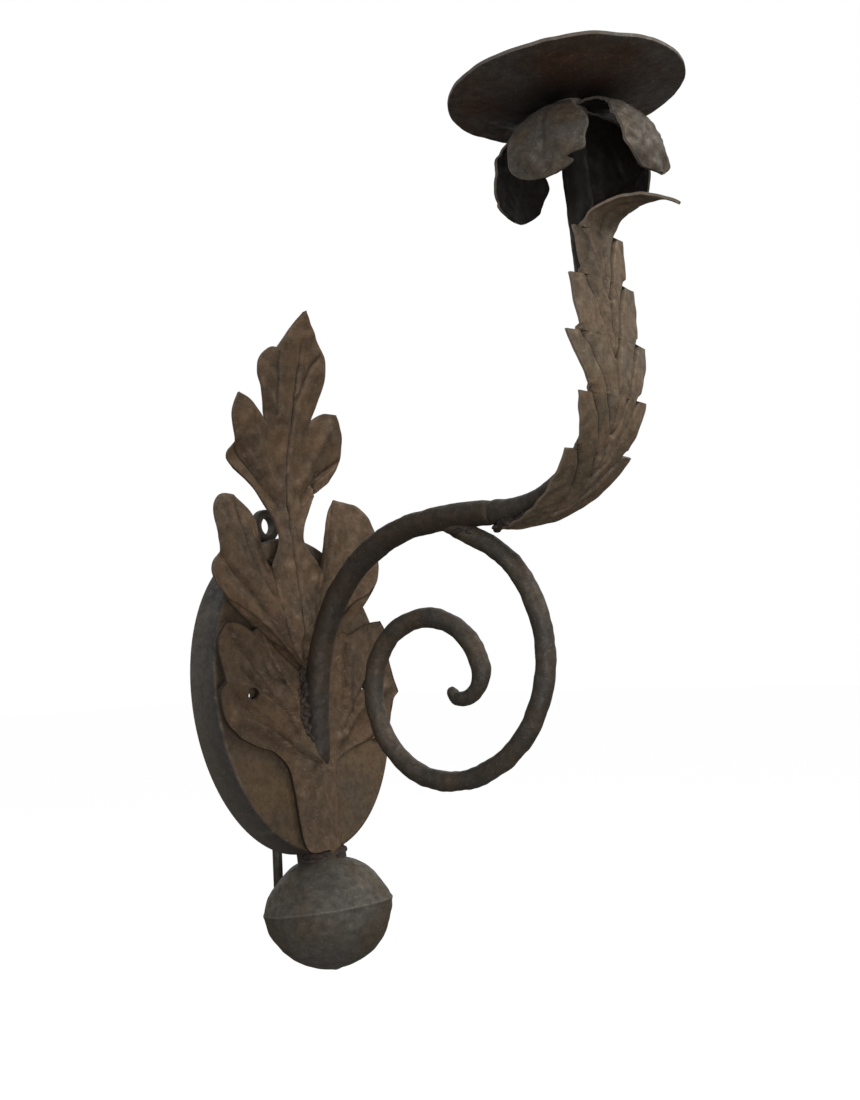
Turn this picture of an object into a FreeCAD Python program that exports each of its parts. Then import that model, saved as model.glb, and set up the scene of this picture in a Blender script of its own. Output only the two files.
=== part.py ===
import FreeCAD, Part
import math
import os

# Torch sconce of wrought iron: an oval back plate with two beaten acanthus leaves, a tube arm with a
# scroll under it and a leaf in front of it, and a candle pan held in four petals.  A rod behind the
# plate carries the hanging eye at the top and a hollow ball at the bottom, so the plate leans a
# little off the wall.
#
# The ironwork is drawn square to the plate: out is the distance from the plate's back rim into the
# room, up runs along the plate, x is to the right, and zero is the middle of the back rim.  hang()
# then leans the whole sconce on its rod: the wall is y = 0, +Z is up, the room is -Y, and the
# origin is the middle of the hanging eye, on the wall.  All sizes are in millimetres.

V = FreeCAD.Vector
X_AXIS = V(1, 0, 0)

# ---- Driving dimensions -------------------------------------------------------------------------

# Back plate: a shallow oval pan of sheet iron, open to the wall.
plate_half_width = 63.0
plate_half_height = 80.75
plate_depth = 17.4
plate_sheet = 1.5
plate_edge_radius = 2.0

# Two holes for wall screws, beside the arm.
screw_hole_radius = 2.75
screw_hole_offset = 42.3
screw_hole_height = 1.0

# Sheet iron of the leaves and petals.
leaf_sheet = 1.2

# Hanging rod and its forged eye.
rod_radius = 2.5
eye_radius = 8.75
eye_bore_radius = 4.75
eye_rim_radius = 1.2
eye_gap = 0.5
eye_out = 2.0
rod_below_seam = 5.0

# Hollow ball: two pressed domes on a short neck.
ball_radius = 32.4
ball_sheet = 1.5
upper_dome_rise = 25.2
lower_dome_rise = 30.5
ball_out = 12.0
neck_radius = 12.4
neck_height = 1.5
neck_reach_share = 0.8

# Arm: two lengths of tube, butted under the leaf.
arm_radius = 6.0
arm_wall = 1.5
foot_sink = 4.5
foot_height = -40.0
foot_heading = 35.0
foot_run = 4.0
foot_bend = (20.0, -30.0)
foot_weld_run = 4.0
arm_bends = ((185.0, 12.7), (80.0, 72.4), (240.0, 11.7))
elbow_bend = (52.9, -99.2)
arm_top_run = 120.8
joint_out = 147.3

# Scroll: a round bar that leaves the underside of the arm and is drawn out thin at its snub end.
scroll_radius = 4.75
scroll_start_out = 117.9
scroll_start_depth = 5.9
scroll_heading = 101.0
scroll_bends = ((59.0, 176.0), (43.5, 86.0), (34.5, 106.0), (32.5, 60.0))
snub_bends = ((12.5, 115.0), (4.0, 106.0))
snub_radius = 2.7
snub_steps = 24
scroll_weld_share = 1 / 3

# Leaf in front of the arm: a shallow gutter with five pairs of teeth.
arm_leaf_start_out = 150.3
arm_leaf_splay = 4.0
arm_leaf_gap = 0.3
arm_leaf_elbow = (60.3, -102.8)
arm_leaf_run = 59.0
arm_leaf_curl = ((8.0, 70.5), (33.5, 60.0))
gutter_radius = 140.0
arm_leaf_start_half_width = 2.0
teeth = ((27.0, 15.0, 15.0), (68.0, 26.5, 18.0), (94.5, 28.0, 19.0), (121.0, 32.8, 22.9),
         (146.5, 26.0, 16.4), (168.0, 20.0, 13.0))
tooth_step = 6.0
arm_leaf_tip_half_width = 0.8
arm_leaf_weld_gap = 0.2

# Candle pan: a flat brim round a shallow bowl.
pan_radius = 53.1
pan_sheet = 1.5
pan_floor_radius = 14.0
pan_bowl_bend = (60.0, -17.0)
pan_bowl_run = 8.0
pan_brim_run = 13.6
pan_brim_heading = 85.5

# Petals under the pan, on a collar round the top of the tube.  They are beaten by hand: each has its
# name, bearing round the tube, run before its bends, and half width.
petal_root_radius = 8.5
petal_root_drop = 2.0
petal_heading = 100.0
petal_bends = ((30.0, 69.0), (40.0, 18.0))
petal_end_run = 4.5
petal_root_half_width = 4.5
petal_wide_share = 0.55
petal_root_share = 0.72
petal_tip_share = 0.8
petals = (("front", 0.0, 7.0, 21.0), ("right", 82.0, 2.5, 19.5), ("back", 180.0, 3.0, 19.5),
          ("left", 278.0, 1.5, 19.0))
collar_height = 9.0

# Spike for the candle, screwed into a plug in the top of the tube.
spike_radius = 3.0
spike_straight = 12.0
spike_point = 10.0
spike_tip_radius = 0.4
flange_radius = 9.0
flange_height = 2.0
shank_length = 12.0
plug_length = 16.0

# Crest leaf: lies on the base leaf, then leans out into the room.
crest_foot = 12.0
crest_flat_run = 79.5
crest_bend = (105.0, 20.0)
crest_top_run = 70.0

# Raised stem of the base leaf: it ends a little above the plate's bottom rim.  Centre, and height,
# half width and rise of three cross-sections.
stem_foot_rise = 1.15
stem_left_corner_rise = 3.1
stem_right_corner_rise = 0.6
stem_foot = stem_foot_rise - plate_half_height
stem_centre = -5.5
stem_sections = ((stem_foot, 12.0, 4.2), (-40.0, 15.0, 4.6), (-24.0, 9.0, 2.0))

# Welds.
weld_size = 2.5
tack_radius = 3.0
crest_tacks = ((-15.2, 67.0), (12.2, 70.0))

# Outlines seen from the room, as (x, up).  Each stroke is a smooth line through its points, and
# two strokes meet in a corner.
crest_outline = (
    ((0.0, 193.5), (-8.2, 184.5), (-15.9, 174.2)),
    ((-15.9, 174.2), (-22.3, 172.9), (-28.1, 165.5), (-24.1, 153.4), (-18.0, 138.3)),
    ((-18.0, 138.3), (-27.5, 146.0), (-38.4, 150.4)),
    ((-38.4, 150.4), (-41.3, 141.0), (-35.3, 127.7)),
    ((-35.3, 127.7), (-38.4, 120.0), (-23.5, 103.7), (-12.5, 85.0), (-11.5, 76.0), (-17.0, 63.0)),
    ((-17.0, 63.0), (-25.8, 76.5), (-30.5, 91.6), (-39.3, 100.4)),
    ((-39.3, 100.4), (-47.5, 100.5), (-53.5, 95.0), (-55.1, 84.1), (-51.6, 70.9)),
    ((-51.6, 70.9), (-57.7, 61.7), (-50.4, 49.3), (-38.8, 41.5), (-25.4, 31.3), (-13.6, 12.5)),
    ((-13.6, 12.5), (8.0, 12.5)),
    ((8.0, 12.5), (20.0, 32.0), (36.2, 44.5), (51.0, 49.9)),
    ((51.0, 49.9), (59.6, 60.0), (61.5, 84.7), (53.8, 97.7), (33.9, 101.4)),
    ((33.9, 101.4), (24.2, 88.0), (19.8, 75.6), (15.5, 62.0)),
    ((15.5, 62.0), (8.6, 76.0), (9.5, 87.1), (20.6, 104.5), (32.1, 111.3)),
    ((32.1, 111.3), (40.4, 122.0), (40.0, 136.0), (33.3, 145.9)),
    ((33.3, 145.9), (23.0, 145.5), (14.3, 141.2)),
    ((14.3, 141.2), (20.4, 157.4), (21.0, 170.0), (13.9, 178.6), (0.0, 193.5)),
)
base_outline = (
    ((0.0, 40.0), (-20.0, 34.0), (-38.0, 22.0)),
    ((-38.0, 22.0), (-47.0, 33.0), (-53.1, 36.6)),
    ((-53.1, 36.6), (-59.5, 29.0), (-59.9, 20.9), (-57.5, 7.9)),
    ((-57.5, 7.9), (-62.3, 2.0), (-61.0, -9.5), (-54.0, -18.5), (-43.3, -24.7)),
    ((-43.3, -24.7), (-32.0, -28.5), (-24.5, -35.0), (-21.5, -44.0),
     (-18.0, stem_foot + stem_left_corner_rise)),
    ((-18.0, stem_foot + stem_left_corner_rise), (stem_centre, stem_foot), (6.5, stem_foot + stem_right_corner_rise)),
    ((6.5, stem_foot + stem_right_corner_rise), (9.5, -46.0), (13.0, -36.5), (26.3, -30.2), (44.0, -27.5)),
    ((44.0, -27.5), (54.0, -26.0), (60.8, -9.6), (66.6, -4.0)),
    ((66.6, -4.0), (63.2, 9.9), (62.8, 28.8), (59.2, 35.1)),
    ((59.2, 35.1), (49.3, 33.9), (33.2, 28.4)),
    ((33.2, 28.4), (29.6, 18.0), (26.0, 2.0)),
    ((26.0, 2.0), (20.0, 24.0), (0.0, 40.0)),
)

# ---- Sizes that follow from the driving dimensions ----------------------------------------------

leaf_front = plate_depth + leaf_sheet
eye_height = plate_half_height + eye_radius + eye_gap
ball_height = -plate_half_height - neck_height - upper_dome_rise
tube_bore_radius = arm_radius - arm_wall

# The rod runs from the middle of the eye to the back of the ball, just touching the ball's seam.
rod_drop = eye_height - ball_height
rod_set_back = eye_out - ball_out + ball_radius
lean = math.degrees(math.atan2(rod_set_back, rod_drop) + math.asin(rod_radius
                    / math.hypot(rod_set_back, rod_drop)))


def room(x, out, up):
    """The point at x, out from the plate's back rim and up along the plate."""
    return V(x, -out, up)


# ---- Bent centrelines ---------------------------------------------------------------------------

class Route:
    """A line of straight runs and tangent arcs, with its heading measured from up towards out.

    The front of the line is on the right of its heading, so the front of a line that goes up faces
    out.  A bend with a positive angle turns towards the front."""

    def __init__(self, out, up, heading):
        self.start = (out, up, heading)
        self.pieces = []

    def run(self, length):
        self.pieces.append((length, 0.0, 0.0))
        return self

    def turn(self, radius, angle):
        self.pieces.append((math.radians(abs(angle)) * radius, radius, angle))
        return self

    def turns(self, bends):
        for radius, angle in bends:
            self.turn(radius, angle)
        return self

    def length(self):
        return sum(piece[0] for piece in self.pieces)

    def step(self, place, piece, share):
        """The place and heading that lie a share of the way along one piece."""
        out, up, heading = place
        length, radius, angle = piece
        start = math.radians(heading)
        if not radius:
            travel = length * share
            return (out + travel * math.sin(start), up + travel * math.cos(start), heading)
        end = start + math.radians(angle * share)
        sweep = math.copysign(radius, angle)
        return (out + sweep * (math.cos(start) - math.cos(end)),
                up + sweep * (math.sin(end) - math.sin(start)), heading + angle * share)

    def places(self):
        """Every piece with the place where it starts."""
        place = self.start
        found = []
        for piece in self.pieces:
            found.append((place, piece))
            place = self.step(place, piece, 1.0)
        return found

    def at(self, station):
        """The place and heading at a distance along the line."""
        left = station
        for place, piece in self.places():
            if left <= piece[0]:
                break
            left -= piece[0]
        return self.step(place, piece, min(left / piece[0], 1.0))

    def reach(self, out):
        """The distance along the line at which it first gets that far out."""
        near, far = 0.0, self.length()
        while self.at(far / 2)[0] > out:
            far /= 2
        while far - near > 1e-6:
            middle = (near + far) / 2
            near, far = (middle, far) if self.at(middle)[0] < out else (near, middle)
        return far

    def part(self, first, last):
        """The stretch of this line between two distances, as a line of its own."""
        cut = Route(*self.at(first))
        passed = 0.0
        for length, radius, angle in self.pieces:
            share = (min(last, passed + length) - max(first, passed)) / length
            passed += length
            if share > 1e-9:
                cut.pieces.append((length * share, radius, angle * share))
        return cut


def beside(place, front=0.0, x=0.0):
    """The point at x, off a place of a route by a distance towards its front."""
    out, up, heading = place
    turn = math.radians(heading)
    return room(x, out + front * math.cos(turn), up - front * math.sin(turn))


def along(place):
    """The direction in which a route heads at a place."""
    turn = math.radians(place[2])
    return room(0.0, math.sin(turn), math.cos(turn))


def round_face(place, radius):
    """A disc square across a route."""
    return Part.Face(Part.Wire(Part.makeCircle(radius, beside(place), along(place))))


def bar(route, radius):
    """A round bar along a route: a cylinder for each run and a piece of a torus for each bend."""
    solids = []
    for place, (length, bend, angle) in route.places():
        face = round_face(place, radius)
        if bend:
            centre = beside(place, math.copysign(bend, angle))
            solids.append(face.revolve(centre, X_AXIS * math.copysign(1.0, angle), abs(angle)))
        else:
            solids.append(face.extrude(along(place) * length))
    return joined(solids)


def tube(route, radius, wall):
    """A round tube along a route."""
    return bar(route, radius).cut(bar(route, radius - wall))


def edges(route, front):
    """The edges of a line that runs beside a route, at a distance towards its front."""
    found = []
    for place, piece in route.places():
        ends = [beside(route.step(place, piece, share), front) for share in (0.0, 0.5, 1.0)]
        if piece[1]:
            found.append(Part.Arc(*ends).toShape())
        else:
            found.append(Part.makeLine(ends[0], ends[2]))
    return found


def ribbon(route, thickness):
    """A flat band, with its front edge along a route and the other edge behind it."""
    front = edges(route, 0.0)
    back = edges(route, -thickness)
    ends = [Part.makeLine(front[0].firstVertex().Point, back[0].firstVertex().Point),
            Part.makeLine(front[-1].lastVertex().Point, back[-1].lastVertex().Point)]
    return Part.Face(Part.Wire(Part.__sortEdges__(front + back + ends)))


# ---- Small helpers ------------------------------------------------------------------------------

def joined(solids):
    """Several solids as one."""
    whole = solids[0]
    if len(solids) > 1:
        whole = whole.fuse(solids[1:]).removeSplitter()
    return whole


def prism(outline, back, front):
    """A solid with an outline seen from the room, between two distances out from the back rim."""
    strokes = []
    for stroke in outline:
        points = [room(x, back, up) for x, up in stroke]
        if len(points) == 2:
            strokes.append(Part.makeLine(*points))
        else:
            curve = Part.BSplineCurve()
            curve.interpolate(points)
            strokes.append(curve.toShape())
    face = Part.Face(Part.Wire(strokes))
    return face.extrude(V(0, back - front, 0))


def oval(inset, back, front):
    """The plate's oval, drawn in by an inset, between two distances out from the back rim."""
    ellipse = Part.Ellipse(V(0, -back, 0), plate_half_height - inset, plate_half_width - inset)
    wire = Part.Wire(ellipse.toShape())
    wire.rotate(V(0, -back, 0), V(0, 0, 1), 90)
    wire.rotate(V(0, -back, 0), X_AXIS, 90)
    return Part.Face(wire).extrude(V(0, back - front, 0))


def screw_holes():
    """The two drills for the wall screws, through the plate and the base leaf."""
    drills = [Part.makeCylinder(screw_hole_radius, leaf_front + plate_depth,
                                room(side * screw_hole_offset, 0.0, screw_hole_height),
                                V(0, -1, 0)) for side in (-1, 1)]
    return Part.makeCompound(drills)


# ---- Back plate, rod and ball -------------------------------------------------------------------

def back_plate():
    """The oval pan: pressed sheet with a rounded front edge and a notch for the rod."""
    outside = oval(0.0, 0.0, plate_depth)
    front_edge = [edge for edge in outside.Edges if edge.CenterOfMass.y < -0.99 * plate_depth]
    outside = outside.makeFillet(plate_edge_radius, front_edge)
    pan = outside.cut(oval(plate_sheet, 0.0, plate_depth - plate_sheet))
    return pan.cut(screw_holes()).cut(rod_bar())


def rod_bar():
    """The rod itself, from the middle of the eye down to just below the ball's seam."""
    turn = math.radians(lean)
    length = rod_drop / math.cos(turn) + rod_below_seam
    down = room(0.0, -math.sin(turn), -math.cos(turn))
    return Part.makeCylinder(rod_radius, length, room(0.0, eye_out, eye_height), down)


def hanging_rod():
    """The rod with its top forged into a flat eye, square to the wall."""
    turn = math.radians(lean)
    through = room(0.0, -math.cos(turn), math.sin(turn))
    middle = room(0.0, eye_out, eye_height)
    back = middle - through * rod_radius
    eye = Part.makeCylinder(eye_radius, 2 * rod_radius, back, through)
    eye = eye.makeFillet(eye_rim_radius, [edge for edge in eye.Edges if edge.Closed])
    rod = rod_bar()
    shank = rod.cut(Part.makeCylinder(eye_radius - rod_radius / 2, 4 * rod_radius,
                                      back - through * rod_radius, through))
    whole = eye.fuse(shank)
    return whole.cut(Part.makeCylinder(eye_bore_radius, 4 * rod_radius, back - through * rod_radius,
                                       through))


def dome_space(rise, inset):
    """The space under a dome: a slice of the sphere through its seam and its pole, drawn in."""
    height = abs(rise)
    way = math.copysign(1.0, rise)
    sphere = (ball_radius ** 2 + height ** 2) / (2 * height)
    centre = room(0.0, ball_out, ball_height + way * (height - sphere))
    half = Part.makeCylinder(2 * ball_radius, 2 * ball_radius,
                             room(0.0, ball_out, ball_height), V(0, 0, way))
    return Part.makeSphere(sphere - inset, centre).common(half)


def dome(rise):
    """A pressed dome of sheet, open at the seam."""
    return dome_space(rise, 0.0).cut(dome_space(rise, ball_sheet))


def ball_neck():
    """The collar between the plate's bottom rim and the top of the ball."""
    top = -plate_half_height + 2 * neck_height
    height = top - (ball_height + neck_reach_share * upper_dome_rise)
    collar = Part.makeCylinder(neck_radius, height, room(0.0, ball_out, top - height))
    return collar.cut(oval(0.0, -plate_depth, 2 * plate_depth)).cut(dome_space(upper_dome_rise, 0.0))


# ---- Leaves on the plate ------------------------------------------------------------------------

def stem(inset):
    """The rounded ridge of the base leaf's stem, or with an inset the hollow under it."""
    wires = []
    for up, half_width, rise in stem_sections:
        up -= inset
        across = half_width - inset
        low = leaf_front - (leaf_sheet if inset else 0.0)
        high = leaf_front + max(rise - inset, 0.2 * rise)
        left = room(stem_centre - across, low, up)
        right = room(stem_centre + across, low, up)
        crown = Part.Arc(left, room(stem_centre, high, up), right).toShape()
        wires.append(Part.Wire([crown, Part.makeLine(right, left)]))
    return Part.makeLoft(wires, True, True)


def base_leaf():
    """The leaf that lies flat on the plate, with its stem raised as a hollow ridge."""
    sheet = prism(base_outline, plate_depth, leaf_front)
    return sheet.fuse(stem(0.0)).removeSplitter().cut(stem(leaf_sheet)).cut(screw_holes())


def crest_leaf():
    """The upper leaf: one bent sheet, cut to its outline."""
    line = Route(leaf_front + leaf_sheet, crest_foot, 0.0)
    line.run(crest_flat_run).turn(*crest_bend).run(crest_top_run)
    reach = 2 * plate_half_width
    sheet = ribbon(line, leaf_sheet)
    sheet.translate(V(-reach, 0, 0))
    return sheet.extrude(V(2 * reach, 0, 0)).common(prism(crest_outline, 0.0, 2 * reach))


def crest_leaf_tacks():
    """Two weld tacks that hold the neck of the crest leaf to the plate."""
    tacks = [Part.makeSphere(tack_radius, room(x, leaf_front, up)) for x, up in crest_tacks]
    keep = Part.makeBox(4 * plate_half_width, plate_depth, 4 * plate_half_height,
                        room(-2 * plate_half_width, 2 * plate_depth, -2 * plate_half_height))
    whole = Part.makeCompound(tacks).common(keep)
    return whole.cut(crest_leaf()).cut(base_leaf())


# ---- Arm and scroll -----------------------------------------------------------------------------

def arm_route():
    """The centreline of the arm, from its foot on the plate to the underside of the pan."""
    line = Route(leaf_front - foot_sink, foot_height, foot_heading)
    line.run(foot_run).turn(*foot_bend).turns(arm_bends).turn(*elbow_bend)
    return line.run(arm_top_run)


def joint_station():
    """How far along the arm its two tubes meet."""
    return arm_route().reach(joint_out)


def behind_leaf():
    """Everything behind the front of the base leaf, for cutting the arm's foot flush."""
    reach = 4 * plate_half_height
    return Part.makeBox(reach, reach, reach, room(-reach / 2, leaf_front, -reach / 2))


def arm_foot_tube():
    """The lower tube: ground flush at its foot, so that it runs out in a long point."""
    line = arm_route().part(0.0, joint_station())
    return tube(line, arm_radius, arm_wall).cut(behind_leaf()).cut(stem(0.0))


def arm_top_tube():
    """The upper tube: the elbow and the straight run up to the pan."""
    line = arm_route()
    return tube(line.part(joint_station(), line.length()), arm_radius, arm_wall)


def arm_foot_weld():
    """The bead round the arm's foot, on the base leaf."""
    line = arm_route().part(0.0, foot_run + math.radians(-foot_bend[1]) * foot_bend[0] + foot_weld_run)
    bead = bar(line, arm_radius + weld_size)
    slab = Part.makeBox(4 * arm_radius, weld_size, 4 * plate_half_height,
                        room(-2 * arm_radius, leaf_front + weld_size, -2 * plate_half_height))
    return bead.common(slab).cut(bar(line, arm_radius)).cut(stem(0.0))


def scroll_route():
    """The centreline of the scroll, from the underside of the arm to its snub end."""
    arm = arm_route()
    up = arm.at(arm.reach(scroll_start_out))[1]
    line = Route(scroll_start_out, up - scroll_start_depth, scroll_heading)
    return line.turns(scroll_bends).turns(snub_bends)


def scroll_bar():
    """The scroll: a round bar, coped to the arm, with its last turns drawn out thin."""
    line = scroll_route()
    plain = sum(math.radians(angle) * radius for radius, angle in scroll_bends)
    whole = line.length()
    rings = []
    for index in range(snub_steps + 1):
        share = index / snub_steps
        place = line.at(plain + (whole - plain) * share)
        radius = scroll_radius + (snub_radius - scroll_radius) * share
        rings.append(Part.Wire(Part.makeCircle(radius, beside(place), along(place))))
    drawn = Part.makeLoft(rings, True, False)
    body = bar(line.part(0.0, plain), scroll_radius).fuse(drawn)
    return body.cut(bar(arm_route(), arm_radius))


def scroll_weld():
    """The bead in the crotch where the scroll leaves the arm."""
    arm = arm_route()
    arc = math.radians(scroll_bends[0][1]) * scroll_bends[0][0]
    line = scroll_route().part(0.0, arc * scroll_weld_share)
    near = bar(line, scroll_radius + weld_size).common(bar(arm, arm_radius + weld_size))
    return near.cut(bar(arm, arm_radius)).cut(bar(line, scroll_radius))


# ---- Leaf in front of the arm -------------------------------------------------------------------

def arm_leaf_route():
    """The midrib of the arm leaf, from just past the joint in the arm to the curled tip."""
    arm = arm_route()
    place = arm.at(arm.reach(arm_leaf_start_out))
    start = beside(place, arm_radius + arm_leaf_gap + leaf_sheet)
    line = Route(-start.y, start.z, place[2] + arm_leaf_splay)
    return line.turn(*arm_leaf_elbow).run(arm_leaf_run).turns(arm_leaf_curl)


def gutter(place, half_width):
    """The cross-section of the arm leaf: a shallow arc of sheet, square across its midrib."""
    spread = math.asin(half_width / gutter_radius)
    rows = []
    for radius in (gutter_radius, gutter_radius - leaf_sheet):
        rows.append([beside(place, radius * math.cos(turn) - gutter_radius,
                            radius * math.sin(turn)) for turn in (-spread, 0.0, spread)])
    front, back = rows
    return Part.Wire([Part.Arc(*front).toShape(), Part.makeLine(front[2], back[2]),
                      Part.Arc(*reversed(back)).toShape(), Part.makeLine(back[0], front[0])])


def arm_leaf():
    """The gutter of sheet, with a tooth on each side where the width steps back in."""
    line = arm_leaf_route()
    last = 0.0
    width = arm_leaf_start_half_width
    strips = []
    for station, tip, notch in teeth + ((line.length(), arm_leaf_tip_half_width, 0.0),):
        steps = math.ceil((station - last) / tooth_step)
        wires = [gutter(line.at(last + (station - last) * index / steps),
                        width + (tip - width) * index / steps) for index in range(steps + 1)]
        strips.append(Part.makeLoft(wires, True, True))
        last = station
        width = notch
    return joined(strips)


def arm_leaf_welds():
    """Two beads between the tube and the back of the arm leaf: one at its start and one up the tube."""
    line = arm_leaf_route()
    tube_body = bar(arm_route(), arm_radius)
    sag = gutter_radius - math.sqrt(gutter_radius ** 2 - weld_size ** 2)
    front = -leaf_sheet - sag - arm_leaf_weld_gap
    beads = []
    for station in (2 * weld_size, teeth[len(teeth) // 2][0]):
        place = line.at(station)
        block = Part.makeCylinder(weld_size, arm_radius, beside(place, front - arm_radius),
                                  beside(place, front) - beside(place, front - arm_radius))
        beads.append(max(block.cut(tube_body).Solids, key=lambda solid: solid.Volume))
    return Part.makeCompound(beads)


# ---- Pan, petals and spike ----------------------------------------------------------------------

def on_arm_top(shape):
    """Stand a shape, drawn about the Z axis with zero at the pan's underside, on the arm's end."""
    line = arm_route()
    place = line.at(line.length())
    shape.rotate(V(0, 0, 0), X_AXIS, place[2])
    shape.translate(beside(place))
    return shape


def turned(face):
    """A face turned once round the Z axis."""
    return face.revolve(V(0, 0, 0), V(0, 0, 1), 360)


def drip_pan():
    """The candle pan: flat floor, sloping bowl and flat brim, all of one sheet."""
    line = Route(0.0, 0.0, 90.0).run(pan_floor_radius).turn(*pan_bowl_bend).run(pan_bowl_run)
    line.turn(*pan_edge_bend()).run(pan_brim_run)
    sheet = turned(ribbon(line, pan_sheet))
    hole = Part.makeCylinder(spike_radius, 4 * pan_sheet, V(0, 0, -pan_sheet))
    rim = Part.makeCylinder(pan_radius, pan_radius).cut(hole)
    return on_arm_top(sheet.common(rim))


def pan_edge_bend():
    """The bend between bowl and brim, back to the brim's own slope."""
    return (2 * pan_sheet, pan_brim_heading - 90.0 - pan_bowl_bend[1])


def tube_plug():
    """The plug in the top of the tube, bored for the spike's shank."""
    plug = Part.makeCylinder(tube_bore_radius, plug_length, V(0, 0, -plug_length))
    return on_arm_top(plug.cut(Part.makeCylinder(spike_radius, plug_length, V(0, 0, -plug_length))))


def candle_spike():
    """The spike, with a flange on the pan's floor and a shank down into the plug."""
    spike = Part.makeCylinder(spike_radius, shank_length + pan_sheet + flange_height
                              + spike_straight, V(0, 0, -shank_length))
    flange = Part.makeCylinder(flange_radius, flange_height, V(0, 0, pan_sheet))
    top = pan_sheet + flange_height + spike_straight
    point = Part.makeCone(spike_radius, spike_tip_radius, spike_point, V(0, 0, top))
    return on_arm_top(joined([spike, flange, point]))


def petal_collar():
    """The collar round the top of the tube, to which the petals are welded."""
    collar = Part.makeCylinder(petal_root_radius, collar_height, V(0, 0, -collar_height))
    return on_arm_top(collar.cut(Part.makeCylinder(arm_radius, collar_height,
                                                   V(0, 0, -collar_height))))


def petal(bearing, run, petal_half_width):
    """One petal: a piece of an umbrella of sheet, cut to a rounded outline and turned to place."""
    line = Route(petal_root_radius, -petal_root_drop, petal_heading)
    line.run(run).turns(petal_bends).run(petal_end_run)
    root_up = -petal_root_drop + leaf_sheet
    tip_up = line.at(line.length())[1]
    wide_up = root_up + petal_wide_share * (tip_up - root_up)
    shoulder, shoulder_up = petal_root_share * petal_half_width, (root_up + wide_up) / 2
    corner, corner_up = petal_tip_share * petal_half_width, (wide_up + tip_up) / 2
    outline = (
        ((-petal_root_half_width, root_up), (petal_root_half_width, root_up)),
        ((petal_root_half_width, root_up), (shoulder, shoulder_up), (petal_half_width, wide_up),
         (corner, corner_up), (0.0, tip_up), (-corner, corner_up), (-petal_half_width, wide_up),
         (-shoulder, shoulder_up), (-petal_root_half_width, root_up)),
    )
    body = turned(ribbon(line, leaf_sheet)).common(prism(outline, 0.0, pan_radius))
    body = body.cut(Part.makeCylinder(petal_root_radius, 2 * pan_radius, V(0, 0, -pan_radius)))
    body.rotate(V(0, 0, 0), V(0, 0, 1), bearing)
    return on_arm_top(body)


# ---- Rod welds ----------------------------------------------------------------------------------

def rod_welds():
    """The beads that hold the rod to the plate's top rim and to the back of the ball."""
    rod = rod_bar()
    turn = math.radians(lean)
    plate_bead = Part.makeSphere(rod_radius + weld_size / 2, room(0.0, weld_size, plate_half_height
                                                                   - plate_sheet / 2))
    inside = oval(plate_sheet, 0.0, plate_depth - plate_sheet)
    plate_bead = plate_bead.common(inside).cut(rod)
    seam_bead = Part.makeSphere(rod_radius + weld_size, room(0.0, ball_out - ball_radius, ball_height))
    wall_side = Part.makeBox(ball_radius, ball_radius, ball_radius,
                             V(-ball_radius / 2, 0, -ball_radius / 2))
    wall_side.rotate(V(0, 0, 0), X_AXIS, lean)
    wall_side.translate(room(0.0, eye_out - rod_set_back - rod_radius / math.cos(turn) + rod_radius,
                             ball_height))
    seam_bead = seam_bead.cut(rod).cut(wall_side)
    for rise in (upper_dome_rise, -lower_dome_rise):
        seam_bead = seam_bead.cut(dome_space(rise, 0.0))
    return Part.makeCompound(plate_bead.Solids + seam_bead.Solids)


# ---- Hang the sconce and write its pieces -------------------------------------------------------

def hang(shape):
    """Lean a shape on the rod: wall at y = 0, and the middle of the eye at zero height."""
    placed = shape.copy()
    placed.translate(-room(0.0, eye_out, eye_height))
    placed.rotate(V(0, 0, 0), X_AXIS, -lean)
    placed.translate(V(0, -rod_radius, 0))
    return placed


def write(name, shape):
    """Write one piece to its own file."""
    hang(shape).exportStep("parts/" + name + ".step")


os.makedirs("parts", exist_ok=True)
write("back_plate", back_plate())
write("hanging_rod", hanging_rod())
write("rod_welds", rod_welds())
write("ball_neck", ball_neck())
write("ball_upper_dome", dome(upper_dome_rise))
write("ball_lower_dome", dome(-lower_dome_rise))
write("base_leaf", base_leaf())
write("crest_leaf", crest_leaf())
write("crest_leaf_tacks", crest_leaf_tacks())
write("arm_foot_tube", arm_foot_tube())
write("arm_foot_weld", arm_foot_weld())
write("arm_top_tube", arm_top_tube())
write("scroll_bar", scroll_bar())
write("scroll_weld", scroll_weld())
write("arm_leaf", arm_leaf())
write("arm_leaf_welds", arm_leaf_welds())
write("petal_collar", petal_collar())
for petal_name, *petal_shape in petals:
    write("petal_" + petal_name, petal(*petal_shape))
write("tube_plug", tube_plug())
write("drip_pan", drip_pan())
write("candle_spike", candle_spike())
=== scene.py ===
import math

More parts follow.
